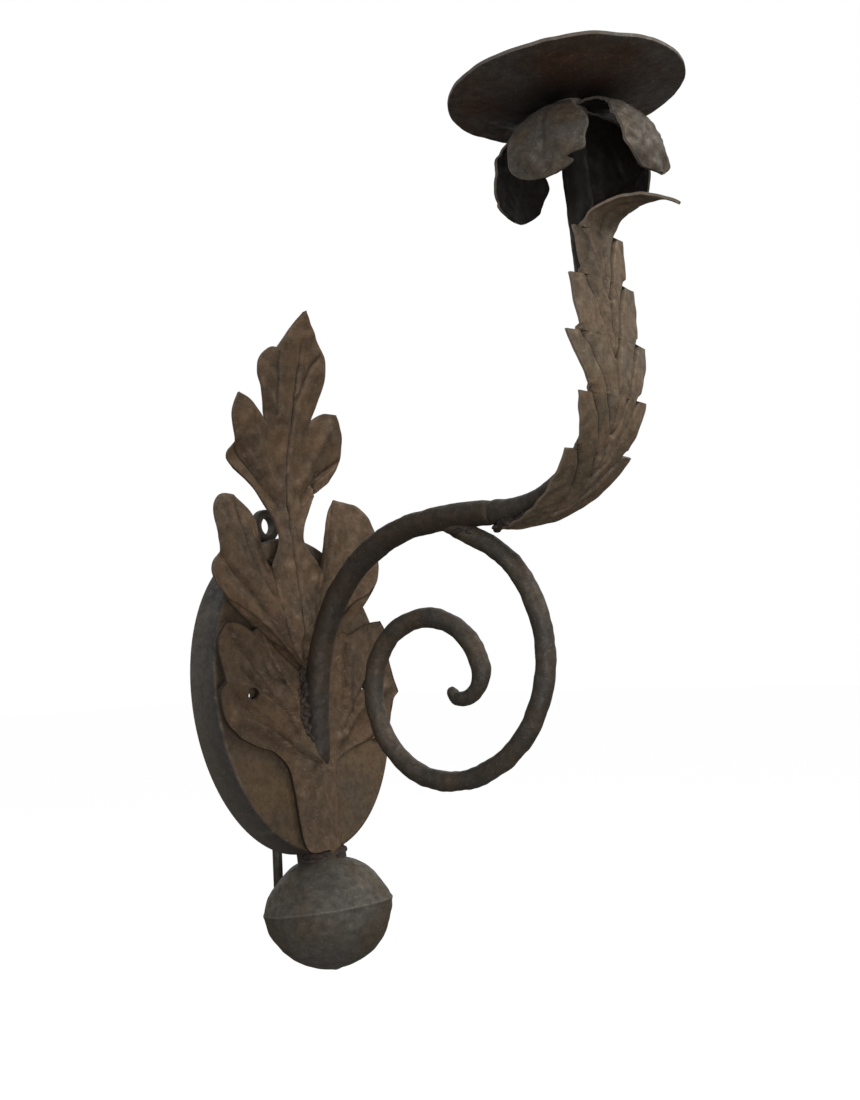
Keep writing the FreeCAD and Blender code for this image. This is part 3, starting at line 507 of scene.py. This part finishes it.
def bead(name, path, size, seed, slot, *nodes, lumps=0.28, material=weld_iron):
    """A weld bead: rings of points carried along a path, swelling and pinching as it was laid in drops."""
    line = smooth(path, 30)
    way = np.gradient(line, axis=0)
    way /= np.linalg.norm(way, axis=1)[:, None]
    side = np.cross(way, (0.31, 0.22, 0.92))
    side /= np.linalg.norm(side, axis=1)[:, None]
    other = np.cross(way, side)
    angle = np.linspace(0, 2 * math.pi, 20, endpoint=False)[None, :, None]
    ring = side[:, None] * np.cos(angle) + other[:, None] * np.sin(angle)
    taper = np.sqrt(np.clip(1 - np.linspace(-1, 1, len(line)) ** 6, 0, 1))[:, None, None]
    rough = line[:, None] + size * ring
    swell = 1 + lumps * (beaten(rough, 5.5, seed) + 0.45 * beaten(rough, 2.4, seed + 1))[..., None]
    spots = line[:, None] + size * taper * swell * ring
    piece(name, hung(spots[..., 0], spots[..., 1], spots[..., 2]), quads(len(line), 20, wrap=True),
          material, slot, *nodes, sharp=80)


bead("crest_tack_left", ((-18, 19.2, 66), (-15.5, 19.6, 66.5), (-12.6, 19.4, 68)), 2.2, 31, "weld_iron",
     "crest_leaf_tacks")
bead("crest_tack_right", ((10.4, 19.4, 69.5), (12.4, 19.6, 70), (15, 19.0, 69)), 2.2, 33, "weld_iron")
# The bead round the ball's neck, where it meets the plate's rim.
neck_turns = np.linspace(-1.7, 1.5, 9)
bead("neck_bead", [(12.6 * math.sin(turn), 12.0 + 10.0 * math.cos(turn), -81.4) for turn in neck_turns],
     1.7, 35, "weld_iron", lumps=0.4)

# ---- Arm -----------------------------------------------------------------------------------------
# Two lengths of 12 mm tube, butted and welded under the leaf.  The lower one is ground flush on the
# base leaf, so it runs out in a long point; a lumpy bead holds it there.

arm_radius = 6.0


def follow(start, runs, step=1.0):
    """A line of straight runs and tangent arcs in the sconce's middle plane, from (out, up, heading):
    a run is (length, 0) and an arc (radius, angle).  Gives out, up, heading and distance at each step."""
    out, up, turn = start[0], start[1], math.radians(start[2])
    places = [np.array([[out, up, turn, 0.0]])]
    for size, angle in runs:
        sweep = math.radians(angle)
        length = abs(sweep) * size if angle else size
        share = np.linspace(0, 1, max(2, math.ceil(length / step)) + 1)[1:]
        heading = turn + sweep * share
        if angle:
            bend = math.copysign(size, angle)
            outs = out + bend * (math.cos(turn) - np.cos(heading))
            ups = up + bend * (np.sin(heading) - math.sin(turn))
        else:
            outs = out + length * share * math.sin(turn)
            ups = up + length * share * math.cos(turn)
        places.append(np.stack([outs, ups, heading, places[-1][-1, 3] + length * share], axis=1))
        out, up, turn = outs[-1], ups[-1], heading[-1]
    return np.concatenate(places)


def round_bar(name, line, radius, seed, slot, *nodes, lump=0.16, lowest=None, around=48, material=bar_iron):
    """A forged round bar: a ring of points carried square along a line, with shallow hammer marks,
    closed at both ends.  With lowest it is ground flat where it would go deeper into the plate."""
    angle = np.linspace(0, 2 * math.pi, around, endpoint=False)[None, :]
    radius = np.broadcast_to(np.asarray(radius, float), len(line))[:, None]
    turn = line[:, 2:3]
    marks = 0.0
    for marked in (False, True):
        # The marks are read off the plain bar, so the rings are laid twice.
        if marked:
            marks = lump * (beaten(spots, 13.0, seed) + 0.4 * beaten(spots, 5.0, seed + 1))
        reach = radius + marks
        spots = np.stack([reach * np.sin(angle), line[:, :1] + reach * np.cos(angle) * np.cos(turn),
                          line[:, 1:2] - reach * np.cos(angle) * np.sin(turn)], axis=-1)
    ends = [np.broadcast_to([0.0, line[k, 0], line[k, 1]], (1, around, 3)) for k in (0, -1)]
    spots = np.concatenate([ends[0], spots, ends[1]])
    if lowest is not None:
        spots[..., 1] = np.maximum(spots[..., 1], lowest)
    piece(name, hung(spots[..., 0], spots[..., 1], spots[..., 2]), quads(len(spots), around, wrap=True),
          material, slot, *nodes, sharp=60)


leaf_front = plate_front + sheet
arm = follow((leaf_front - 4.5, -40.0, 35.0),
             ((4.0, 0), (20.0, -30.0), (185.0, 12.7), (80.0, 72.4), (240.0, 11.7), (52.9, -99.2), (120.8, 0)))
butt_out = 147.3
joint = int(np.argmax(arm[:, 0] >= butt_out))
lower, upper = arm[:joint + 1], arm[joint:]
worn = 0.7 * np.exp(-((lower[:, 3] - lower[-1, 3]) / 1.0) ** 2)
# The lower tube takes a darker copy of the bar iron as painted shade.
shaded_arm_iron = waxed_iron("waxed_iron_arm", "#2a2621", "#332a20", "#6a6256", cloud=18.0)
round_bar("arm_lower_tube", lower, arm_radius - worn, 41, "bar_iron", "arm_foot_tube", lowest=leaf_front,
          material=shaded_arm_iron)
worn = 0.7 * np.exp(-((upper[:, 3] - upper[0, 3]) / 1.0) ** 2)
# The upper tube takes a still darker copy of the bar iron, near black towards the pan: painted shade.
pan_shaded_iron = waxed_iron("pan_shaded_iron_bar", "#2d2924", "#352d24", "#6d665b", cloud=18.0, pan_shade=(45, 95))
round_bar("arm_upper_tube", upper, arm_radius - worn, 43, "bar_iron", "arm_top_tube", material=pan_shaded_iron)
bead("arm_foot_bead", ((-5.2, 20.0, -30), (-6.3, 20.3, -22), (-6.6, 20.6, -12), (-6.4, 21.0, 0),
                       (-5.8, 21.4, 12)), 2.4, 45, "weld_iron", "arm_foot_weld", lumps=0.34)
bead("arm_foot_crust", ((-8.5, 19.6, -22), (-8.6, 19.8, -14), (-9.4, 19.8, -8), (-8.0, 20.2, 2)), 1.9, 46,
     "weld_iron", lumps=0.42)
bead("arm_foot_bead_right", ((5.0, 19.8, -30), (6.3, 20.0, -20), (6.4, 20.2, -8)), 1.7, 47, "weld_iron")

# ---- Scroll --------------------------------------------------------------------------------------
# A 9.5 mm round bar rolled into a scroll and drawn out thin at its snub end, then welded into the
# crotch under the arm.

bar_radius, scroll_start, ground_length = 4.75, 117.9, 16.0
start = arm[int(np.argmax(arm[:, 0] >= scroll_start))]
full, snub = ((59.0, 176.0), (43.5, 86.0), (34.5, 106.0), (32.5, 60.0)), ((12.5, 115.0), (4.0, 106.0))
scroll = follow((scroll_start, start[1] - 5.9, 101.0), full + snub, 0.9)
# Past its full turns the bar is drawn out thinner; its head is ground thin where it meets the arm.
drawn = sum(bend * math.radians(angle) for bend, angle in full)
share = np.clip((scroll[:, 3] - drawn) / (scroll[-1, 3] - drawn), 0, 1)
radius = bar_radius - 2.05 * share
tail = np.clip((scroll[-1, 3] - scroll[:, 3]) / 2.4, 0, 1)
head = 0.35 + 0.65 * np.clip(scroll[:, 3] / ground_length, 0, 1) ** 0.7
scroll[:, 1] += 0.8 * (bar_radius - radius * head) * (scroll[:, 3] < ground_length)
radius = radius * head
round_bar("scroll_forged", scroll, radius * np.sqrt(1 - (1 - tail) ** 2 * 0.92), 51, "bar_iron", "scroll_bar",
          lump=0.2)
bead("scroll_bead", ((3.2, 124, 61.2), (3.0, 132, 58.6), (1.5, 138, 57.4), (-1.5, 138.5, 57.2),
                     (-3.0, 132, 58.6), (-3.2, 124, 61.2)), 1.9, 53, "weld_iron", "scroll_weld")

# ---- Arm leaf ------------------------------------------------------------------------------------
# A long toothed leaf of 1.2 mm sheet in front of the arm: beaten to a shallow gutter, with a groove
# along its rib and one to every tooth, and its tip curled out.  Two beads hold it on the tube.

leaf_start = arm[int(np.argmax(arm[:, 0] >= 150.3))]
lift = arm_radius + 0.3 + sheet
rib = follow((leaf_start[0] + lift * math.cos(leaf_start[2]), leaf_start[1] - lift * math.sin(leaf_start[2]),
              math.degrees(leaf_start[2]) + 4.0), ((60.3, -102.8), (59.0, 0), (8.0, 70.5), (33.5, 60.0)), 0.9)
teeth = ((27.0, 15.0, 15.0), (68.0, 26.5, 18.0), (94.5, 28.0, 19.0), (121.0, 32.8, 22.9),
         (146.5, 26.0, 16.4), (168.0, 20.0, 13.0), (rib[-1, 3], 0.8, 0.8))
knots, widths = [0.0], [2.0]
for station, tip, notch in teeth:
    knots += [station, station + 0.02]
    widths += [tip, notch]
stations = np.unique(np.concatenate([rib[:, 3], np.array(knots), np.array(knots) - 1.5]))
stations = stations[(stations >= 0) & (stations <= rib[-1, 3])]
outs, ups, turns = (np.interp(stations, rib[:, 3], rib[:, k])[:, None] for k in range(3))
half = np.interp(stations, knots, widths)[:, None]
# Between a notch and the next tip the edge first hollows, then flares.
previous = np.interp(stations, knots, np.concatenate([[0], np.repeat(np.arange(len(teeth)), 2)]))
flare = np.sin(math.pi * (previous % 1.0))[:, None]
across = np.linspace(-1, 1, 81)[None, :]
side = across * (half + 0.9 * flare)
along = stations[:, None] + 0 * side
marks = [(-1.9, 1.3, (0.0, 4.0), (0.0, 90.0), (0.0, 176.0)),
         (0.8, 4.0, (0.0, 10.0), (0.0, 90.0), (0.0, 170.0))]
for station, tip, notch in teeth[1:-1]:
    for way in (-1, 1):
        marks.append((-2.3, 1.1, (way * 1.5, station - 1.35 * notch - 12),
                      (way * 0.55 * notch, station - 0.7 * notch), (way * notch, station + 1.0),
                      (way * (notch + 0.6), station + 3.0)))
        marks.append((0.3, 3.4, (way * 2.0, station - 30), (way * 0.5 * tip, station - 17),
                      (way * tip, station - 1)))
gutter = 140.0
relief = chased(side, along, marks) + 0.25 * beaten(np.stack([side, along, 0 * side], axis=-1), 9.0, 61)
push = np.sqrt(gutter ** 2 - side ** 2) - gutter + np.maximum(relief, -2.4)
skins = []
for deep in (0.0, sheet):
    skins.append(hung(side, outs + (push - deep) * np.cos(turns), ups - (push - deep) * np.sin(turns)))
# The arm leaf takes a lighter copy of the leaf iron, where it faces the lamp: painted light.
lit_arm_leaf_iron = waxed_iron("waxed_iron_arm_leaf", "#504536", "#5b4b39", "#93877a", cloud=16.0, specks=0.4)
shell("arm_leaf_chased", *skins, lit_arm_leaf_iron, "leaf_iron", "arm_leaf")
near = np.array([(-min(5.2, 1.8 + 0.45 * place), *(np.interp(place, rib[:, 3], rib[:, k]) for k in range(3)))
                 for place in (2.0, 8.0, 14.0, 20.0, 27.0)])
bead("arm_leaf_crust", np.stack([near[:, 0], near[:, 1] - 2.2 * np.cos(near[:, 3]),
                                 near[:, 2] + 2.2 * np.sin(near[:, 3])], axis=1), 1.9, 65, "weld_iron",
     lumps=0.45)
bead("arm_leaf_bead", ((-3.0, 149.6, 57.6), (0, 149.0, 56.9), (3.0, 149.6, 57.6)), 1.5, 63, "weld_iron",
     "arm_leaf_welds")

# ---- Collar and petals ---------------------------------------------------------------------------
# A short collar round the top of the tube carries four petals, each beaten from 1.2 mm sheet to a
# drooping spoon and welded on at its root.  Their edges are thin, wavy and rubbed pale.

dress("petal_collar", bar_iron)
arm_end = arm[-1]


def on_arm(x, out, up):
    """Points drawn about the tube's axis, zero at its end, as they stand on the tube's end."""
    turn = arm_end[2]
    return hung(x, arm_end[0] + out * math.cos(turn) + up * math.sin(turn),
                arm_end[1] - out * math.sin(turn) + up * math.cos(turn))


widest = 0.58
# The petals' undersides, turned to the top of the arm, are painted near black as shade.
petal_iron = waxed_iron("waxed_iron_petal", "#3f3a34", "#43392c", "#8d867c", cloud=14.0, specks=0.36,
                        inner_shade=True)
for petal_name, bearing, run, half_width, seed, nick in (
        ("front", 0.0, 7.0, 21.0, 71, 0.0), ("right", 82.0, 2.5, 19.5, 73, 0.0),
        ("back", 180.0, 3.0, 19.5, 75, 0.25), ("left", 278.0, 1.5, 19.0, 77, 0.55)):
    line = follow((8.5, -2.0, 100.0), ((run, 0), (30.0, 69.0), (40.0, 18.0), (4.5, 0)), 0.7)
    top, low = line[0, 1], line[-1, 1]
    fall = (top - line[:, 1]) / (top - low)
    # Half width: from the root it swells to the widest place of its fall, then rounds off to the tip.
    swollen = 4.5 + (half_width - 4.5) * np.sin(math.pi / 2 * np.minimum(fall / widest, 1)) ** 0.85
    rounded = 1 - (np.maximum(fall - widest, 0) / (1 - widest)) ** 2.2
    wide = np.where(fall < widest, swollen, half_width * np.sqrt(np.clip(rounded, 0, 1)))
    wide = wide + 0.9 * np.sin(fall * 15 + seed) * np.sin(math.pi * fall)
    wide = np.maximum(wide, 0.2)[:, None]
    across = np.linspace(-1, 1, 61)[None, :]
    side = across * wide
    if petal_name == "front":
        side = side * (1 - 0.12 * (across < 0) * np.clip(2.5 * fall[:, None], 0, 1))
    side = side * (1 - 0.6 * nick * (across > 0) * np.exp(-((fall[:, None] - 0.84) / 0.035) ** 2))
    reach, heading = line[:, :1], line[:, 2:3]
    flat = np.stack([side, line[:, 3:4] + 0 * side, 0 * side], axis=-1)
    crumple = 0.75 * beaten(flat, 15.0, seed) * (0.25 + fall[:, None]) + 0.25 * beaten(flat, 6.0, seed + 1)
    crumple = crumple - 0.9 * np.exp(-(side / 1.6) ** 2) * np.sin(math.pi * fall[:, None])
    crumple = crumple + 2.2 * nick * np.abs(across) ** 3 * fall[:, None]
    skins = []
    for deep in (0.0, sheet):
        bowl = np.maximum(reach + (crumple - deep) * -np.cos(heading), np.abs(side) + 0.2)
        high = line[:, 1:2] + (crumple - deep) * np.sin(heading)
        out = np.sqrt(bowl ** 2 - np.clip(side, -bowl, bowl) ** 2)
        turn = math.radians(bearing)
        skins.append(on_arm(side * math.cos(turn) + out * math.sin(turn),
                            out * math.cos(turn) - side * math.sin(turn), high))
    shell("petal_" + petal_name + "_beaten", *skins, petal_iron, "leaf_iron", "petal_" + petal_name)

# ---- Pan and spike -------------------------------------------------------------------------------
# The candle pan: a shallow bowl with a flat brim, spun from 1.5 mm sheet, darkened round its middle by
# painted shade, with rusty patches below.  A steel spike on a flange holds the candle; its shank goes
# into a plug in the tube.

# The pan is near black within 16 to 44 mm of its middle: painted shade.
pan_iron = waxed_iron("waxed_iron_pan", "#45403a", "#402d20", "#847c72", cloud=34.0, dents=0.25,
                      pan_shade=(16, 44))
pan_sheet, pan_reach = 1.5, 53.1
profile = follow((0.0, 0.0, 90.0), ((14.0, 0), (60.0, -17.0), (8.0, 0), (3.0, 12.5), (13.6, 0)), 1.2)
bearing = np.linspace(0, 2 * math.pi, 180, endpoint=False)[None, :]
layers = []
for deep in (0.0, pan_sheet):
    reach = profile[:, :1] - deep * np.cos(profile[:, 2:3]) + 0 * bearing
    high = profile[:, 1:2] + deep * np.sin(profile[:, 2:3]) + 0 * bearing
    reach = np.clip(reach, 0, pan_reach)
    spot = np.stack([reach * np.sin(bearing), reach * np.cos(bearing), 0 * reach], axis=-1)
    dents = 0.3 * beaten(spot, 22.0, 81) + 0.12 * beaten(spot, 9.0, 82)
    high = high + dents * np.clip(reach / 30 - 0.5, 0, 1)
    hub = np.maximum(reach, 3.0 * (np.arange(len(profile)) == 0)[:, None])
    layers.append(on_arm(hub * np.sin(bearing), hub * np.cos(bearing), high))
grid = np.concatenate([layers[0], layers[1][::-1], layers[0][:1]])
piece("drip_pan_beaten", grid, quads(len(grid), 180, wrap=True), pan_iron, "pan_iron", "drip_pan")
dress("tube_plug", bar_iron)
dress("candle_spike", bar_iron)
